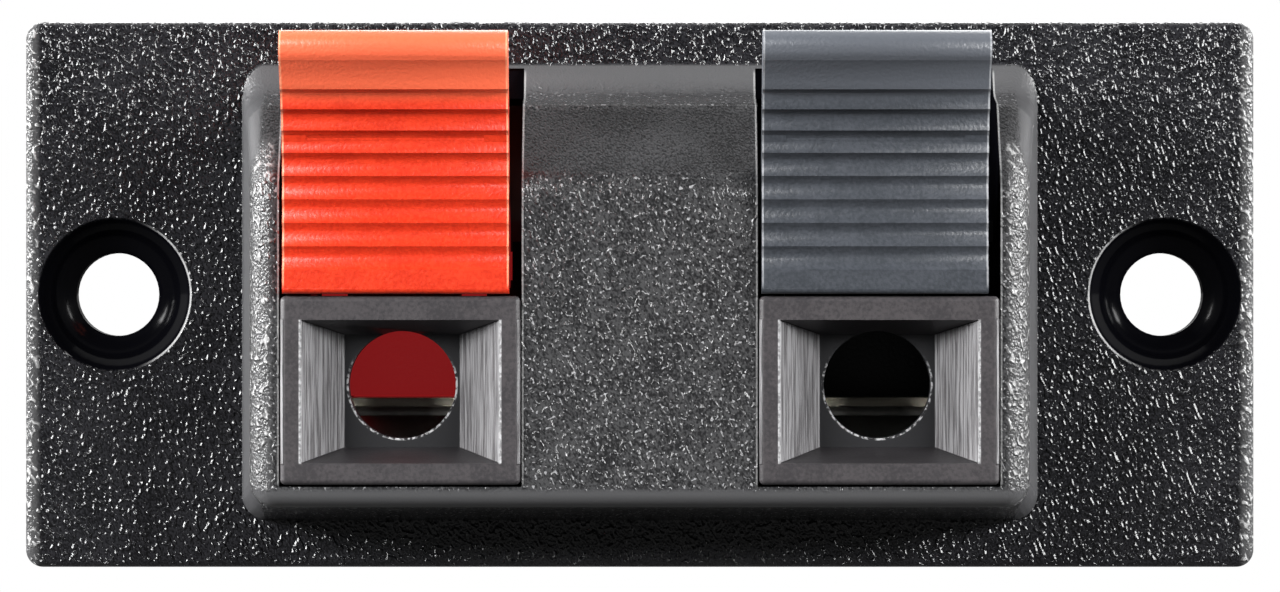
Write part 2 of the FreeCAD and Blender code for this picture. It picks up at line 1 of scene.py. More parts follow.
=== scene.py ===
# %% [markdown]
# # A two-pole speaker terminal plate
# This lesson dresses a small moulded terminal plate: a black grained plate with a raised housing,
# two push levers, two wire sockets and the metal inside them. The solid parts come from the packed
# frame at their real size, so the work here is edges, surfaces, the springs and the light.

# %% Load the frame
import json
import math
import bpy
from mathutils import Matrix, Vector

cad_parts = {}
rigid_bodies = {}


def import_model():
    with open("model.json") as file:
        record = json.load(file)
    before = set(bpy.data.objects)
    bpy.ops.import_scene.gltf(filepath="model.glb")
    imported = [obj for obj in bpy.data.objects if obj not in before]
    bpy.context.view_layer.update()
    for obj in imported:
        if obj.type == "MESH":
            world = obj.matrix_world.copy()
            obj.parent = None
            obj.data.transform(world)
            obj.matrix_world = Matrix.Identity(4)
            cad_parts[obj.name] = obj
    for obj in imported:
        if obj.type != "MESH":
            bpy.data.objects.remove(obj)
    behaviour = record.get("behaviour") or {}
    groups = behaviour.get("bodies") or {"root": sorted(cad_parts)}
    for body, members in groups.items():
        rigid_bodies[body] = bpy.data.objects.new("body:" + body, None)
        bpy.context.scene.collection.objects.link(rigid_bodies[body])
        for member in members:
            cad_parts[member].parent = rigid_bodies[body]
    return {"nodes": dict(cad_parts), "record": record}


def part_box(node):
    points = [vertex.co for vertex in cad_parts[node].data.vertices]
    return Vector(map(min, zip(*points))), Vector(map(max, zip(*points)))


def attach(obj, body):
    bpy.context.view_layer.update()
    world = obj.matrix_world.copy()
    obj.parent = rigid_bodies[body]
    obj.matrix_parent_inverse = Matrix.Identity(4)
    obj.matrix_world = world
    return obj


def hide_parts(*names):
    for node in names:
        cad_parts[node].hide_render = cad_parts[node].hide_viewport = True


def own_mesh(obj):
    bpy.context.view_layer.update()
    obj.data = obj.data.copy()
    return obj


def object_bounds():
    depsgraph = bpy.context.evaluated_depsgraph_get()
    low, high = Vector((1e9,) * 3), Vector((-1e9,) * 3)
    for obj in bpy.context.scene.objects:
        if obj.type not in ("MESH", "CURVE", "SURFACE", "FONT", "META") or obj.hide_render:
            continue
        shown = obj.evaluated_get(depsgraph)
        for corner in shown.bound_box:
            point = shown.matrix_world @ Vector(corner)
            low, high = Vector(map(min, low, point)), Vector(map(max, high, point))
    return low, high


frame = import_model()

nodes = frame["nodes"]
record = frame["record"]
cad_low, cad_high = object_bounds()
print("solid parts:", sorted(nodes))
print("box in mm:", [round(1000 * v, 2) for v in (*cad_low, *cad_high)])

# %% [markdown]
# Sizes are easier to read in millimetres, so one name turns them into Blender's metres. The screw
# holes, the wire holes and the blocks' front are read from the frame. The other sizes repeat the
# shapes of the solid parts, and tell the materials where one kind of surface ends.

# %% Shared sizes
MM = 0.001
mounts = {mount["name"]: mount for mount in record["mounts"]}
hole_x = mounts["panel_screws"]["dims"]["spacing_x_mm"] / 2 * MM
pole_x = mounts["wire_entry_right"]["pos_m"][0]
wire_hole_z = mounts["wire_entry_right"]["pos_m"][2]
wire_hole_r = mounts["wire_entry_right"]["dims"]["r_mm"] * MM
block_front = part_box("wire_block_left")[0].y

PLATE_FRONT = -2.8 * MM
SINK_RADIUS = 3.5 * MM

SLOT_HALF_W = 5.475 * MM
SLOT_HALF_H = 9.58 * MM
SLOT_MIDDLE_Z = 0.88 * MM
RELIEF_Z = 7.0 * MM
FOOT_Z = -9.4 * MM

LEVER_HALF_W = 5.125 * MM
LEVER_SHIFT = -0.2 * MM

FUNNEL_Z = -4.4 * MM
FUNNEL_HALF_H = 3.3 * MM
FUNNEL_SLOPE = 0.77
MOUTH_HALF_W = 4.525 * MM
FUNNEL_FLOOR_HALF_W = 2.6 * MM
funnel_floor_y = block_front + 2.5 * MM

print("block front", round(block_front / MM, 3), "mm")
print("from the middle in mm: screw hole", round(hole_x / MM, 2), "and pole", round(pole_x / MM, 2))


# %% [markdown]
# Operators act on whatever is selected, and the frame arrives selected. A small helper clears the
# selection first, and another leaves one object ready to be worked on.

# %% Selection helpers
def clear_selection():
    """Nothing stays selected or active."""
    for thing in bpy.context.view_layer.objects:
        thing.select_set(False)


def make_active(thing):
    """Only this object is selected and active."""
    clear_selection()
    thing.select_set(True)
    bpy.context.view_layer.objects.active = thing


clear_selection()
print("selected:", len(bpy.context.selected_objects))


# %% [markdown]
# A shader is a small sum. One class wraps a socket, so that a pattern can be written as an
# expression such as `1 - mask * 0.5`, and each operator adds the Math node that it stands for.
# A second class holds a material and adds its other nodes, with values or links by socket name.
# Masks are smooth steps along a coordinate, written as where the mask is 0 and where it is 1.

# %% Shader expressions
class Wire:
    """A node's output that can be added, multiplied and compared like a number."""

    def __init__(self, tree, socket):
        self.tree = tree
        self.socket = socket

    def math(self, operation, *others):
        """Math node on this value and, for most operations, another."""
        node = self.tree.nodes.new("ShaderNodeMath")
        node.operation = operation
        for socket, value in zip(node.inputs, (self, *others)):
            plug(self.tree, socket, value)
        return Wire(self.tree, node.outputs[0])

    def larger(self, other):
        """Larger of two values."""
        return self.math("MAXIMUM", other)

    def __add__(self, other):
        return self.math("ADD", other)

    def __radd__(self, other):
        return self.math("ADD", other)

    def __sub__(self, other):
        return self.math("SUBTRACT", other)

    def __rsub__(self, other):
        return self.math("MULTIPLY", -1.0).math("ADD", other)

    def __mul__(self, other):
        return self.math("MULTIPLY", other)

    def __abs__(self):
        return self.math("ABSOLUTE")

    def step(self, nothing, full):
        """Smooth step that is 0 at the first value and 1 at the second, whichever is larger."""
        rising = nothing < full
        node = self.tree.nodes.new("ShaderNodeMapRange")
        node.interpolation_type = "SMOOTHSTEP"
        node.inputs["From Min"].default_value = min(nothing, full)
        node.inputs["From Max"].default_value = max(nothing, full)
        node.inputs["To Min"].default_value = 0.0 if rising else 1.0
        node.inputs["To Max"].default_value = 1.0 if rising else 0.0
        plug(self.tree, node.inputs["Value"], self)
        return Wire(self.tree, node.outputs["Result"])

    def mask(self, *spans):
        """Product of smooth steps whose spans are given in millimetres."""
        steps = [self.step(nothing * MM, full * MM) for nothing, full in spans]
        product = steps[0]
        for factor in steps[1:]:
            product = product * factor
        return product


def plug(tree, socket, value):
    """Link a wire to a socket, or set a plain value on it."""
    if isinstance(value, Wire):
        tree.links.new(value.socket, socket)
    else:
        socket.default_value = value


class Finish:
    """A material, its main shader and the methods that add nodes to it."""

    def __init__(self, name):
        self.material = bpy.data.materials.new(name)
        self.material.use_nodes = True
        self.tree = self.material.node_tree
        self.shader = self.tree.nodes["Principled BSDF"]
        self.place = self.add("ShaderNodeTexCoord", output="Object")

    def add(self, kind, output=0, **values):
        """Any node, with its sockets by name and their spaces as underscores."""
        node = self.tree.nodes.new(kind)
        for key, value in values.items():
            plug(self.tree, node.inputs[key.replace("_", " ")], value)
        return Wire(self.tree, node.outputs[output])

    def xyz(self):
        """The three object coordinates, in metres."""
        node = self.tree.nodes.new("ShaderNodeSeparateXYZ")
        plug(self.tree, node.inputs[0], self.place)
        return [Wire(self.tree, output) for output in node.outputs]

    def stretched(self, vector, scale, turn):
        """Coordinates turned and then scaled, so that a pattern gets its grain size."""
        turned = self.add("ShaderNodeMapping", Vector=vector, Rotation=turn)
        return self.add("ShaderNodeMapping", Vector=turned, Scale=scale)

    def noise(self, scale, detail=1.0, roughness=0.5, turn=(0.0, 0.0, 0.0)):
        """Noise with so many grains per metre along each axis."""
        vector = self.stretched(self.place, scale, turn)
        return self.add("ShaderNodeTexNoise", Vector=vector, Scale=1.0, Detail=detail,
                        Roughness=roughness)

    def mixed(self, factor, first, second):
        """Colour between two others."""
        node = self.tree.nodes.new("ShaderNodeMix")
        node.data_type = "RGBA"
        plug(self.tree, node.inputs[0], factor)
        plug(self.tree, node.inputs[6], first)
        plug(self.tree, node.inputs[7], second)
        return Wire(self.tree, node.outputs[2])

    def bump(self, height, distance):
        """Normal from a height pattern whose full range is distance, in metres."""
        return self.add("ShaderNodeBump", Height=height, Distance=distance)

    def covered(self, amount, second):
        """Mix another shader over the main one, by an amount from 0 to 1."""
        mix = self.tree.nodes.new("ShaderNodeMixShader")
        plug(self.tree, mix.inputs[0], amount)
        self.tree.links.new(self.shader.outputs[0], mix.inputs[1])
        self.tree.links.new(second.socket, mix.inputs[2])
        self.tree.links.new(mix.outputs[0], self.tree.nodes["Material Output"].inputs["Surface"])
        return self.material

    def set(self, **values):
        """Values or links on the main shader."""
        for key, value in values.items():
            plug(self.tree, self.shader.inputs[key.replace("_", " ")], value)
        return self.material


def colour(red, green, blue):
    """Opaque colour in linear light."""
    return (red, green, blue, 1.0)


def ray_kinds(tree):
    """Whether a ray comes straight from the camera or passed through, and if it was mirrored."""
    path = tree.nodes.new("ShaderNodeLightPath")
    seen = Wire(tree, path.outputs["Is Camera Ray"])
    through = Wire(tree, path.outputs["Is Transmission Ray"])
    return seen.larger(through), Wire(tree, path.outputs["Is Glossy Ray"])


print("shader helpers ready")

# %% [markdown]
# The plate is black plastic from a spark-eroded mould. Its grain is about 0.3 mm across, glossy
# on top, and throws small white glints that lean a little to the right. It could be displaced
# geometry, but at this size a bump is finer and lighter. Masks by place tell where the mould was
# left polished, in the screw sinks and the slots, and where drawing the part out has rubbed the
# grain smooth, on the housing's drafted sides, its foot and the ramp behind the levers. Those
# rubbed faces are also painted paler, which is painted light. Near-white dots on the housing's
# front and bright colour on its side edges and the plate's rim are painted glints, the relief
# between the levers is painted darker as the levers' painted shadow, and pale lines round the
# sinks and along the slots are painted highlights. The sinks and slots are painted near black as
# painted shade, and a matte black is mixed over the glossy plastic there, painted shade too.

# %% Grained black plastic
GRAIN_LEAN = (0.0, math.radians(24), 0.0)
GRAIN_HEIGHT = 0.13 * MM
PLATE_SHADES = {
    "pits": colour(0.006, 0.006, 0.007),
    "tops": colour(0.022, 0.022, 0.025),
    "middle_pits": colour(0.018, 0.018, 0.019),
    "middle_tops": colour(0.068, 0.068, 0.070),
    # Painted glints: near-white dots on the housing's front.
    "painted_glint_dots": colour(0.34, 0.34, 0.35),
    # Painted glints on the housing's side edges and the plate's rim.
    "edge": colour(0.42, 0.42, 0.42),
    # Painted light: the smooth side walls are painted paler, and the ramp and foot paler still.
    "rubbed_and_painted_light": colour(0.056, 0.056, 0.059),
    "rubbed_painted_paler": colour(0.082, 0.082, 0.085),
    # Painted shade in the screw sinks and the slots.
    "painted_recess_shade": colour(0.003, 0.003, 0.004),
    "back": colour(0.022, 0.022, 0.024),
    # Painted highlight on the sinks' rims and along the slot edges.
    "painted_rim_highlight": colour(0.40, 0.40, 0.40),
    # Painted shade: the matte black mixed over the sinks and slots.
    "painted_shade_black": colour(0.002, 0.002, 0.003),
}


def plate_recesses(x, y, z):
    """Masks of the screw sinks, the slots, and the painted highlights that edge them."""
    from_hole = ((abs(x) - hole_x).math("POWER", 2.0) + z * z).math("SQRT") - SINK_RADIUS
    sink = from_hole.mask((0.10, -0.02))
    # A painted highlight on each sink's rim, on the side toward the middle.
    painted_rim_highlight = abs(from_hole - 0.02 * MM).mask((0.07, 0.02))
    painted_rim_highlight = painted_rim_highlight * (hole_x - abs(x)).mask((0.8, 2.6)) * y.mask((-2.4, -2.6))
    beside_slot = abs(abs(x) - pole_x) - SLOT_HALF_W
    above_slot = abs(z - SLOT_MIDDLE_Z) - SLOT_HALF_H
    slot = beside_slot.mask((0.03, 0.0)) * above_slot.mask((0.03, 0.0))
    # A painted highlight along the slot edges.
    painted_slot_highlight = abs(beside_slot - 0.065 * MM).mask((0.06, 0.02))
    painted_slot_highlight = painted_slot_highlight * above_slot.mask((0.0, -0.2)) * y.mask((-2.9, -3.2))
    return sink, slot, painted_rim_highlight, painted_slot_highlight


def grained_black():
    """Black moulding with a spark-eroded front."""
    finish = Finish("plate_plastic_grained")
    shades = PLATE_SHADES
    x, y, z = finish.xyz()
    sink, slot, painted_rim_highlight, painted_slot_highlight = plate_recesses(x, y, z)

    # Faces of the housing, each by its place
    proud = y.mask((-2.82, -2.95))
    side_wall = abs(x).mask((17.2, 17.5), (18.55, 18.5)) * y.mask((-2.85, -2.95), (-8.5, -7.7))
    ramp = z.mask((8.7, 10.2), (10.95, 10.8)) * proud
    relief = abs(z - RELIEF_Z).mask((2.0, 1.3)) * proud
    foot = abs(z - FOOT_Z).mask((0.7, 0.3)) * y.mask((-8.0, -9.0))
    edge = abs(x).mask((16.5, 16.9)) * y.mask((-7.6, -8.2))
    middle = y.mask((-3.0, -4.5)) * (1.0 - edge)
    behind = y.mask((-0.6, 0.1))
    rim = abs(x).mask((27.75, 28.1)) * (1.0 - behind)

    # The grain, and how much of it each face has kept
    swell = finish.noise((4900, 4200, 3500), 0.3, turn=GRAIN_LEAN)
    fine = finish.noise((11000, 9000, 8000), turn=GRAIN_LEAN)
    dots = finish.noise((6600, 6000, 5600), 0.0, turn=GRAIN_LEAN)
    cloud = finish.noise((420, 420, 420), 2.0)
    # Faces rubbed smooth; their colour is also painted light.
    rubbed_and_painted_light = side_wall.larger(ramp).larger(foot) * (1.0 - slot)
    calm = relief.larger(ramp).larger(foot)
    smooth = sink + slot + rubbed_and_painted_light * (0.85 - ramp * 0.25) + behind * 0.75
    kept = (1.0 - smooth.math("MINIMUM", 1.0)) * (1.0 + edge * 0.3 - middle * 0.45)
    pimple = (swell - middle * 0.045).step(0.52, 0.72)
    height = (pimple * (1.0 - calm) * 0.8 + fine * (0.32 + calm * 0.25)) * kept

    # Colours, from the ground up
    speck = (fine * 0.7 + cloud * 0.3).step(0.38, 0.62)
    base = finish.mixed(speck, shades["pits"], shades["tops"])
    middle_base = finish.mixed(speck, shades["middle_pits"], shades["middle_tops"])
    # Painted glints: sparse near-white dots on the housing's front.
    painted_glints = dots.step(0.69, 0.76) * middle * (1.0 - calm) * (1.0 - behind)
    layers = (
        # The relief between the levers takes half as much of the paler front colour: painted shadow
        # of the levers.
        (middle * (1.0 - relief * 0.5), middle_base),
        (painted_glints, shades["painted_glint_dots"]),
        # Painted glints on the housing's side edges and the plate's rim.
        (edge.larger(rim) * (0.15 + pimple * 0.85), shades["edge"]),
        # Painted light on the smooth faces, paler still on the ramp and foot.
        (rubbed_and_painted_light, shades["rubbed_and_painted_light"]),
        (ramp.larger(foot) * (1.0 - slot), shades["rubbed_painted_paler"]),
        # Painted shade in the sinks and slots.
        (sink.larger(slot), shades["painted_recess_shade"]),
        (behind, shades["back"]),
        # Painted highlights on the sink rims and the slot edges.
        (painted_rim_highlight.larger(painted_slot_highlight * (0.35 + fine * 0.6)), shades["painted_rim_highlight"]),
    )
    for amount, shade in layers:
        base = finish.mixed(amount, base, shade)

    finish.set(Base_Color=base, Normal=finish.bump(height, GRAIN_HEIGHT),
               Roughness=0.14 + rubbed_and_painted_light * 0.26 + middle * 0.06 + behind * 0.18)
    # Painted shade: a matte black mixed over the sinks and slots.
    painted_shade_black = finish.add("ShaderNodeBsdfDiffuse", Color=shades["painted_shade_black"])
    return finish.covered((sink * (1.0 - painted_rim_highlight) * 0.85).larger(slot * 0.92), painted_shade_black)


plate_plastic = grained_black()
print("made", plate_plastic.name)

# %% [markdown]
# The wire sockets are a separate black moulding with a plain satin face. Inside the funnel the
# side walls show fine upright lines left by the cutter that made the mould, so the bump there is
# a noise stretched along Z, and the walls are painted paler along those lines as a painted sheen.
# The rest of the funnel and what lies deeper are painted darker as painted shade, and pale lines
# on the wire hole's rim and the mouth's upright edges are painted highlights. The walls slant
# evenly from the mouth to the floor, so one sum of X and Y is constant on them, and that sum
# makes the mask.

# %% Satin black plastic
BLOCK_SHADES = {
    "face_dark": colour(0.036, 0.033, 0.036),
    "face_light": colour(0.062, 0.056, 0.059),
    # Painted sheen on the funnel's side walls.
    "painted_wall_sheen": colour(0.260, 0.257, 0.265),
    # Painted shade inside the funnel, and darker painted shade deeper in.
    "inner": colour(0.026, 0.024, 0.026),
    "deep": colour(0.016, 0.016, 0.018),
    # Painted highlight on the wire hole's rim and the mouth's edges.
    "painted_edge_highlight": colour(0.55, 0.55, 0.56),
}


def satin_black():
    """Socket block: satin face, and fine upright lines on the funnel's side walls."""
    finish = Finish("block_plastic_satin")
    shades = BLOCK_SHADES
    x, y, z = finish.xyz()
    aside = abs(abs(x) - pole_x)
    from_front = y - block_front
    from_floor = y - funnel_floor_y
    from_middle = abs(z - FUNNEL_Z) - FUNNEL_HALF_H

    # The funnel: its slanted side walls, the rest of it, and what lies deeper, the last two painted
    # darker as painted shade
    in_funnel = from_middle.mask((0.02, -0.05)) * from_front.mask((0.01, 0.04))
    in_funnel = in_funnel * from_floor.mask((-0.01, -0.04))
    slant = aside + from_floor * FUNNEL_SLOPE - FUNNEL_FLOOR_HALF_W
    wall = slant.mask((-0.03, 0.0)) * in_funnel
    inner = in_funnel * (1.0 - wall)
    deep = from_floor.mask((-0.06, -0.02))

    # Painted highlights: pale lines on the lower half of the wire hole's rim and on the mouth's
    # upright edges
    from_axis = (aside * aside + (z - wire_hole_z).math("POWER", 2.0)).math("SQRT") - wire_hole_r
    rim = abs(from_axis - 0.03 * MM).mask((0.08, 0.03))
    rim = rim * (z - wire_hole_z).mask((1.4, 0.4)) * from_floor.mask((0.12, 0.06))
    lip = abs(aside - MOUTH_HALF_W).mask((0.09, 0.03))
    lip = lip * from_middle.mask((0.0, -0.1)) * from_front.mask((0.12, 0.06))
    dots = finish.noise((5200, 5200, 5200)).step(0.40, 0.62)
    painted_edge_highlight = (rim * dots).larger(lip * (0.4 + dots * 0.6))

    mist = finish.noise((7000, 7000, 7000), 2.0)
    lines = finish.noise((9000, 9000, 330), 2.0, 0.6)
    cloud = finish.noise((500, 500, 500))
    base = finish.mixed((cloud * 0.4 + mist * 0.6).step(0.36, 0.64),
                        shades["face_dark"], shades["face_light"])
    layers = (
        # Painted sheen on the funnel's side walls, along the cutter lines.
        (wall * (0.15 + lines.step(0.36, 0.64) * 0.85), shades["painted_wall_sheen"]),
        # Painted shade inside the funnel, darker still deeper in.
        (inner, shades["inner"]),
        (deep, shades["deep"]),
        # Painted highlights on the hole's rim and the mouth's edges.
        (painted_edge_highlight, shades["painted_edge_highlight"]),
    )
    for amount, shade in layers:
        base = finish.mixed(amount, base, shade)
    height = mist * 0.6 + lines * wall * 8.0
    return finish.set(Base_Color=base, Roughness=0.42 + mist * 0.08,
                      Normal=finish.bump(height, 0.012 * MM))


block_plastic = satin_black()
print("made", block_plastic.name)

# %% [markdown]
# Both levers are the same moulding in two colours: one red, one dark grey. The plastic is satin,
# with a very fine even grain that softens the light on each rib. The tips are painted paler as a
# painted sheen, and thin painted highlights run down both sides of the thumb face. The tail deep
# inside is painted darker as painted shade, and on the red lever a faint painted glow, by emission,
# stands in for the light that soaks through the red plastic to its hidden parts.

# %% Coloured satin plastic
# In both tables the colours for the tips are a painted sheen, for the side lines a painted
# highlight, for the hidden back part painted shade, and the last one a painted glow.
RED_SHADES = {
    "dark": colour(0.59, 0.025, 0.005),
    "light": colour(0.72, 0.040, 0.009),
    "painted_tip_sheen": colour(0.88, 0.145, 0.062),
    "painted_edge_highlight": colour(1.0, 0.42, 0.24),
    "tail_painted_shade_and_glow": colour(0.40, 0.015, 0.010),
    "painted_glow": colour(0.17, 0.008, 0.009),
}
GREY_SHADES = {
    "dark": colour(0.038, 0.043, 0.051),
    "light": colour(0.059, 0.065, 0.077),
    "painted_tip_sheen": colour(0.094, 0.102, 0.118),
    "painted_edge_highlight": colour(0.38, 0.39, 0.41),
    "tail_painted_shade_and_glow": colour(0.010, 0.011, 0.013),
    "painted_glow": colour(0.0, 0.0, 0.0),
}


def lever_plastic(name, shades):
    """Solid-coloured satin plastic with a fine grain, and painted sheen, highlights, shade and a
    faint emission by place.
    """
    finish = Finish(name)
    x, y, z = finish.xyz()
    mist = finish.noise((6500, 6500, 6500), 2.0)
    cloud = finish.noise((700, 700, 700), 2.0)
    # Painted sheen on the tips.
    painted_tip_sheen = z.mask((8.4, 9.4)) * (0.8 + mist * 0.4)
    # The hidden back part inside the block is painted darker as painted shade, and also gets a
    # painted glow.
    tail_painted_shade_and_glow = y.mask((-2.6, -1.4)) * z.mask((2.0, 1.0))
    # Painted glow on the side web's edge, seen in the gap beside the lever.
    web_edge_painted_glow = y.mask((-9.3, -8.3)) * z.mask((4.5, 3.5))
    # Painted highlights down both sides of the thumb face.
    inward = LEVER_HALF_W - abs(abs(x - LEVER_SHIFT) - pole_x)
    painted_edge_highlight = inward.mask((0.11, 0.07), (0.005, 0.02))
    painted_edge_highlight = painted_edge_highlight * (0.3 + mist * 0.8) * z.mask((0.2, 0.6))

    base = finish.mixed((cloud * 0.4 + mist * 0.6).step(0.34, 0.66),
                        shades["dark"], shades["light"])
    for amount, shade in ((painted_tip_sheen, "painted_tip_sheen"), (painted_edge_highlight, "painted_edge_highlight"), (tail_painted_shade_and_glow, "tail_painted_shade_and_glow")):
        base = finish.mixed(amount, base, shades[shade])
    # A faint painted glow, by emission, standing in for light that soaks through the red plastic.
    painted_glow = finish.mixed(tail_painted_shade_and_glow.larger(web_edge_painted_glow * 0.8), colour(0.0, 0.0, 0.0), shades["painted_glow"])
    finish.set(Emission_Color=painted_glow, Emission_Strength=1.0)
    return finish.set(Base_Color=base, Roughness=0.34 + mist * 0.12,
                      Normal=finish.bump(mist, 0.022 * MM))


red_plastic = lever_plastic("red_plastic_satin", RED_SHADES)
grey_plastic = lever_plastic("grey_plastic_satin", GREY_SHADES)
print("made", red_plastic.name, "and", grey_plastic.name)

# %% [markdown]
# The metal is flat strip: bright spring steel in the clamps, tin-plated brass in the contacts.
# Rolled strip has faint lines along its length, which here run along Y.

# %% Strip metal
def strip_metal(name, dark, light, roughness):
    """Rolled metal strip with faint lines along its length."""
    finish = Finish(name)
    lines = finish.noise((6000, 260, 6000), 3.0)
    base = finish.mixed(lines, dark, light)
    return finish.set(Base_Color=base, Metallic=1.0, Roughness=roughness + lines * 0.12,
                      Normal=finish.bump(lines, 0.003 * MM))


spring_metal = strip_metal("spring_strip_bright", colour(0.84, 0.81, 0.75),
                           colour(0.95, 0.93, 0.88), 0.52)
plated_brass = strip_metal("plated_brass_dull", colour(0.62, 0.60, 0.55),
                           colour(0.76, 0.74, 0.70), 0.26)
print("made", spring_metal.name, "and", plated_brass.name)

# %% [markdown]
# A moulded edge is never razor sharp: it is rounded by a tenth of a millimetre, and that round
# catches the softboxes as a thin bright line. The solids are finely cut triangles, so a Weld and
# a planar Decimate first turn them back into whole faces, and then a Bevel rounds what is sharp.

# %% Finish the solid parts
SAME_POINT = 0.0005 * MM
SAME_PLANE = math.radians(0.2)
SHARP_EDGE = math.radians(38.0)


def soften_edges(thing, width):
    """Whole faces from loose triangles, then rounded sharp edges."""
    weld = thing.modifiers.new("weld", "WELD")
    weld.merge_threshold = SAME_POINT
    whole = thing.modifiers.new("whole_faces", "DECIMATE")
    whole.decimate_type = "DISSOLVE"
    whole.angle_limit = SAME_PLANE
    bevel = thing.modifiers.new("edge_round", "BEVEL")
    bevel.width = width
    bevel.segments = 2
    bevel.limit_method = "ANGLE"
    bevel.angle_limit = SHARP_EDGE
    bevel.harden_normals = True
    bevel.use_clamp_overlap = True


def paint(thing, material):
    """One material on every face of a part."""
    thing.data.materials.clear()
    thing.data.materials.append(material)


FINISHES = {
    "face_plate": (plate_plastic, 0.08 * MM),
    "wire_block_left": (block_plastic, 0.07 * MM),
    "wire_block_right": (block_plastic, 0.07 * MM),
    "lever_left": (red_plastic, 0.10 * MM),
    "lever_right": (grey_plastic, 0.10 * MM),
    "contact_bar_left": (plated_brass, 0.05 * MM),
    "contact_bar_right": (plated_brass, 0.05 * MM),
}
for node_name, (material, edge_width) in FINISHES.items():
    paint(nodes[node_name], material)
    soften_edges(nodes[node_name], edge_width)
print("finished", len(FINISHES), "solid parts")

# %% [markdown]
# Each clamp spring is a hairpin bent from one flat strip: a foot on the floor of the shell, a
# round bend at the back, and a free leg that pushes the lever's tail up and ends in a curl. It
# could be a curve with a flat profile, but spinning and extruding the strip's end face gives
# clean quads and exact bends. The real spring flattens as its lever is pressed; here the bent
# strip stands in the place of the rigid one, which is hidden.

# %% Bend the clamp springs
STRIP_T = 0.4 * MM
CURL_R = 0.45 * MM
FOOT_LENGTH = 2.52 * MM
BEND_STEPS = 20
CURL_STEPS = 8
STRIP_EDGE_ROUND = 0.05 * MM
STRIP_SHARP_EDGE = math.radians(50)
STRIP_SMOOTH_ANGLE = math.radians(35)


def select_face_near(mesh_object, point):
    """In edit mode, select only the face whose centre lies nearest a point."""
    bpy.ops.object.mode_set(mode="OBJECT")
    mesh = mesh_object.data
    for item in (*mesh.vertices, *mesh.edges, *mesh.polygons):
        item.select = False
    nearest = min(mesh.polygons, key=lambda face: (face.center - Vector(point)).length)
    nearest.select = True
    bpy.ops.object.mode_set(mode="EDIT")
    bpy.ops.mesh.select_mode(type="FACE")


def bend_spring(side_name):
    """Hairpin strip in the place of the rigid one."""
    low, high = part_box("clamp_spring_" + side_name)
    middle_x = (low.x + high.x) / 2
    bend_r = (high.z - low.z) / 2
    middle_z = (high.z + low.z) / 2
    bend_y = high.y - bend_r
    foot_y = bend_y - FOOT_LENGTH
    foot_z = low.z + STRIP_T / 2
    clear_selection()
    bpy.ops.mesh.primitive_cube_add(size=1.0, location=(middle_x, (foot_y + bend_y) / 2, foot_z))
    spring = bpy.context.object
    spring.name = "clamp_spring_strip_" + side_name
    spring.scale = (high.x - low.x, bend_y - foot_y, STRIP_T)
    bpy.ops.object.transform_apply(location=True, rotation=True, scale=True)
    select_face_near(spring, (middle_x, bend_y, foot_z))
    bpy.ops.mesh.spin(steps=BEND_STEPS, angle=math.pi, center=(middle_x, bend_y, middle_z),
                      axis=(1, 0, 0))
    tip_y = low.y + CURL_R + STRIP_T
    bpy.ops.mesh.extrude_region_move(TRANSFORM_OT_translate={"value": (0, tip_y - bend_y, 0)})
    curl_z = high.z - STRIP_T - CURL_R
    bpy.ops.mesh.spin(steps=CURL_STEPS, angle=math.pi / 2, center=(middle_x, tip_y, curl_z),
                      axis=(1, 0, 0))
    bpy.ops.mesh.select_all(action="SELECT")
    bpy.ops.mesh.remove_doubles(threshold=SAME_POINT * 2)
    bpy.ops.mesh.normals_make_consistent(inside=False)
    bpy.ops.object.mode_set(mode="OBJECT")
    edge_round = spring.modifiers.new("edge_round", "BEVEL")
    edge_round.width = STRIP_EDGE_ROUND
    edge_round.segments = 2
    edge_round.limit_method = "ANGLE"
    edge_round.angle_limit = STRIP_SHARP_EDGE
    make_active(spring)
    bpy.ops.object.modifier_apply(modifier="edge_round")
    bpy.ops.object.shade_smooth_by_angle(angle=STRIP_SMOOTH_ANGLE)
    spring.data.materials.append(spring_metal)
    return spring


for side_name in ("left", "right"):
    spring = bend_spring(side_name)
    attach(spring, "housing")
    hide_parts("clamp_spring_" + side_name)
    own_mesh(spring)
    print(spring.name, len(spring.data.polygons), "faces")

# %% [markdown]
# The camera stands straight in front, as far away as the shift of the screw holes tells, and
# aims a hair below the middle of the plate. A long lens keeps the sides nearly parallel.

# %% Camera
IMAGE_W = 1280
IMAGE_H = 592
PIXELS_PER_MM = 21.56
STAND_OFF = 280.0 * MM
SENSOR_W_MM = 36.0
PLATE_CENTRE_PIXEL = (639.75, 294.5)


def add_camera():
    """Camera on the plate's axis, framed as the photograph is."""
    data = bpy.data.cameras.new("front_camera")
    data.sensor_width = SENSOR_W_MM
    data.lens = SENSOR_W_MM * (STAND_OFF / MM) * PIXELS_PER_MM / IMAGE_W
    data.clip_start = 0.01
    data.clip_end = 20.0
    camera = bpy.data.objects.new("front_camera", data)
    bpy.context.scene.collection.objects.link(camera)
    aside = (IMAGE_W / 2 - PLATE_CENTRE_PIXEL[0]) / PIXELS_PER_MM * MM
    below = (PLATE_CENTRE_PIXEL[1] - IMAGE_H / 2) / PIXELS_PER_MM * MM
    camera.location = (aside, PLATE_FRONT - STAND_OFF, below)
    camera.rotation_euler = (math.pi / 2, 0.0, 0.0)
    bpy.context.scene.camera = camera
    return camera


camera = add_camera()
print("lens", round(camera.data.lens, 2), "mm")

# %% [markdown]
# Small moulded parts are usually shot with softboxes. Two stand in front to the left and right,
# raised so that the lever tips are lit and the plate under the housing lies in shadow. Two more
# stand level with the plate and draw the bright bands on its rims and on the housing's sides. A
# lamp behind keeps the back readable when the part is turned. Black plastic shows its
# surroundings more than its colour, so the room in front stays dim and the backdrop is white.

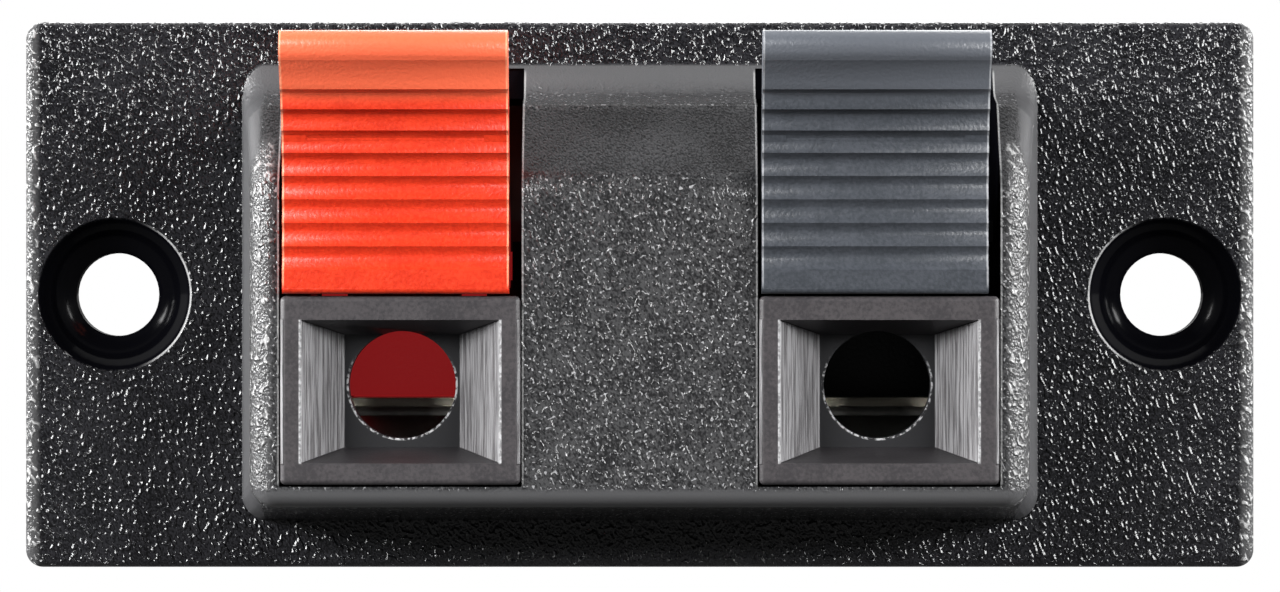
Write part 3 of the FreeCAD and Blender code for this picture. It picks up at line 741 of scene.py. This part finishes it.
# %% Lamps and surroundings
def add_softbox(name, place, size_x, size_y, power):
    """Rectangular lamp that faces the middle of the plate."""
    data = bpy.data.lights.new(name, "AREA")
    data.shape = "RECTANGLE"
    data.size = size_x
    data.size_y = size_y
    data.energy = power
    lamp = bpy.data.objects.new(name, data)
    bpy.context.scene.collection.objects.link(lamp)
    lamp.location = place
    lamp.rotation_euler = Vector(place).to_track_quat("Z", "Y").to_euler()
    return lamp


# Name, place in metres, width, height, watts
SOFTBOXES = (
    ("softbox_left", (-0.315, -0.255, 0.13), 0.17, 0.10, 2.3),
    ("softbox_right", (0.315, -0.255, 0.13), 0.17, 0.10, 1.9),
    ("softbox_side_left", (-0.44, -0.01, 0.12), 0.18, 0.17, 3.7),
    ("softbox_side_right", (0.44, -0.01, 0.12), 0.18, 0.17, 2.5),
    ("softbox_back", (0.0, 0.45, 0.25), 0.60, 0.30, 3.0),
)
for softbox in SOFTBOXES:
    add_softbox(*softbox)

AMBIENT = 0.03
BACKDROP_FILL = 0.30
BACKDROP_MIRRORED = 0.95
BACKDROP_FADE = (-0.45, 0.10)


def surroundings():
    """White to the camera, and for the part a white backdrop behind it and a dim room in front."""
    world = bpy.data.worlds.new("studio")
    world.use_nodes = True
    bpy.context.scene.world = world
    tree = world.node_tree
    background = tree.nodes["Background"]
    background.inputs["Color"].default_value = (1, 1, 1, 1)
    coordinates = tree.nodes.new("ShaderNodeTexCoord")
    split = tree.nodes.new("ShaderNodeSeparateXYZ")
    tree.links.new(coordinates.outputs["Generated"], split.inputs[0])
    behind = Wire(tree, split.outputs["Y"]).step(*BACKDROP_FADE)
    direct, mirrored = ray_kinds(tree)
    fill = BACKDROP_FILL + mirrored * (BACKDROP_MIRRORED - BACKDROP_FILL)
    indirect = AMBIENT + behind * fill
    plug(tree, background.inputs["Strength"], direct + (1.0 - direct) * indirect)


surroundings()

# %% [markdown]
# The floor lies just below the plate. To the camera it is pale near the part, where it takes the
# shadow, and further off it fades into the same white as the backdrop. To every other ray it is
# dark, so that it throws no light up at the part, apart from a faint white seen in reflections.

# %% Floor
FLOOR_DROP = 3.5 * MM
FLOOR_WIDTH = 6.0
FLOOR_FADE_MM = (30, 48)
GLEAM_FADE_MM = (-60, -30)
GLEAM = 0.12
FLOOR_PALE = colour(0.8, 0.8, 0.8)
FLOOR_DARK = colour(0.04, 0.04, 0.04)


def add_floor():
    """Pale floor that fades to white away from the part."""
    clear_selection()
    bpy.ops.mesh.primitive_plane_add(size=FLOOR_WIDTH, location=(0, 0, cad_low.z - FLOOR_DROP))
    floor = bpy.context.object
    floor.name = "floor"
    bpy.ops.object.transform_apply(location=True, rotation=True, scale=True)
    finish = Finish("floor_pale")
    x, y, _ = finish.xyz()
    away = (x * x + y * y).math("SQRT").mask(FLOOR_FADE_MM)
    direct, mirrored = ray_kinds(finish.tree)
    finish.set(Base_Color=finish.mixed(direct, FLOOR_DARK, FLOOR_PALE), Roughness=0.9,
               Specular_IOR_Level=0.0)
    white = finish.add("ShaderNodeEmission", Color=colour(1.0, 1.0, 1.0), Strength=1.0)
    gleam = mirrored * y.mask(GLEAM_FADE_MM) * GLEAM
    floor.data.materials.append(finish.covered((direct * away).larger(gleam), white))


add_floor()
bpy.context.scene.view_settings.view_transform = "Standard"
print("floor at", round((cad_low.z - FLOOR_DROP) / MM, 2), "mm")

# %% [markdown]
# At the end nothing is left selected.

# %% Clear the selection
clear_selection()
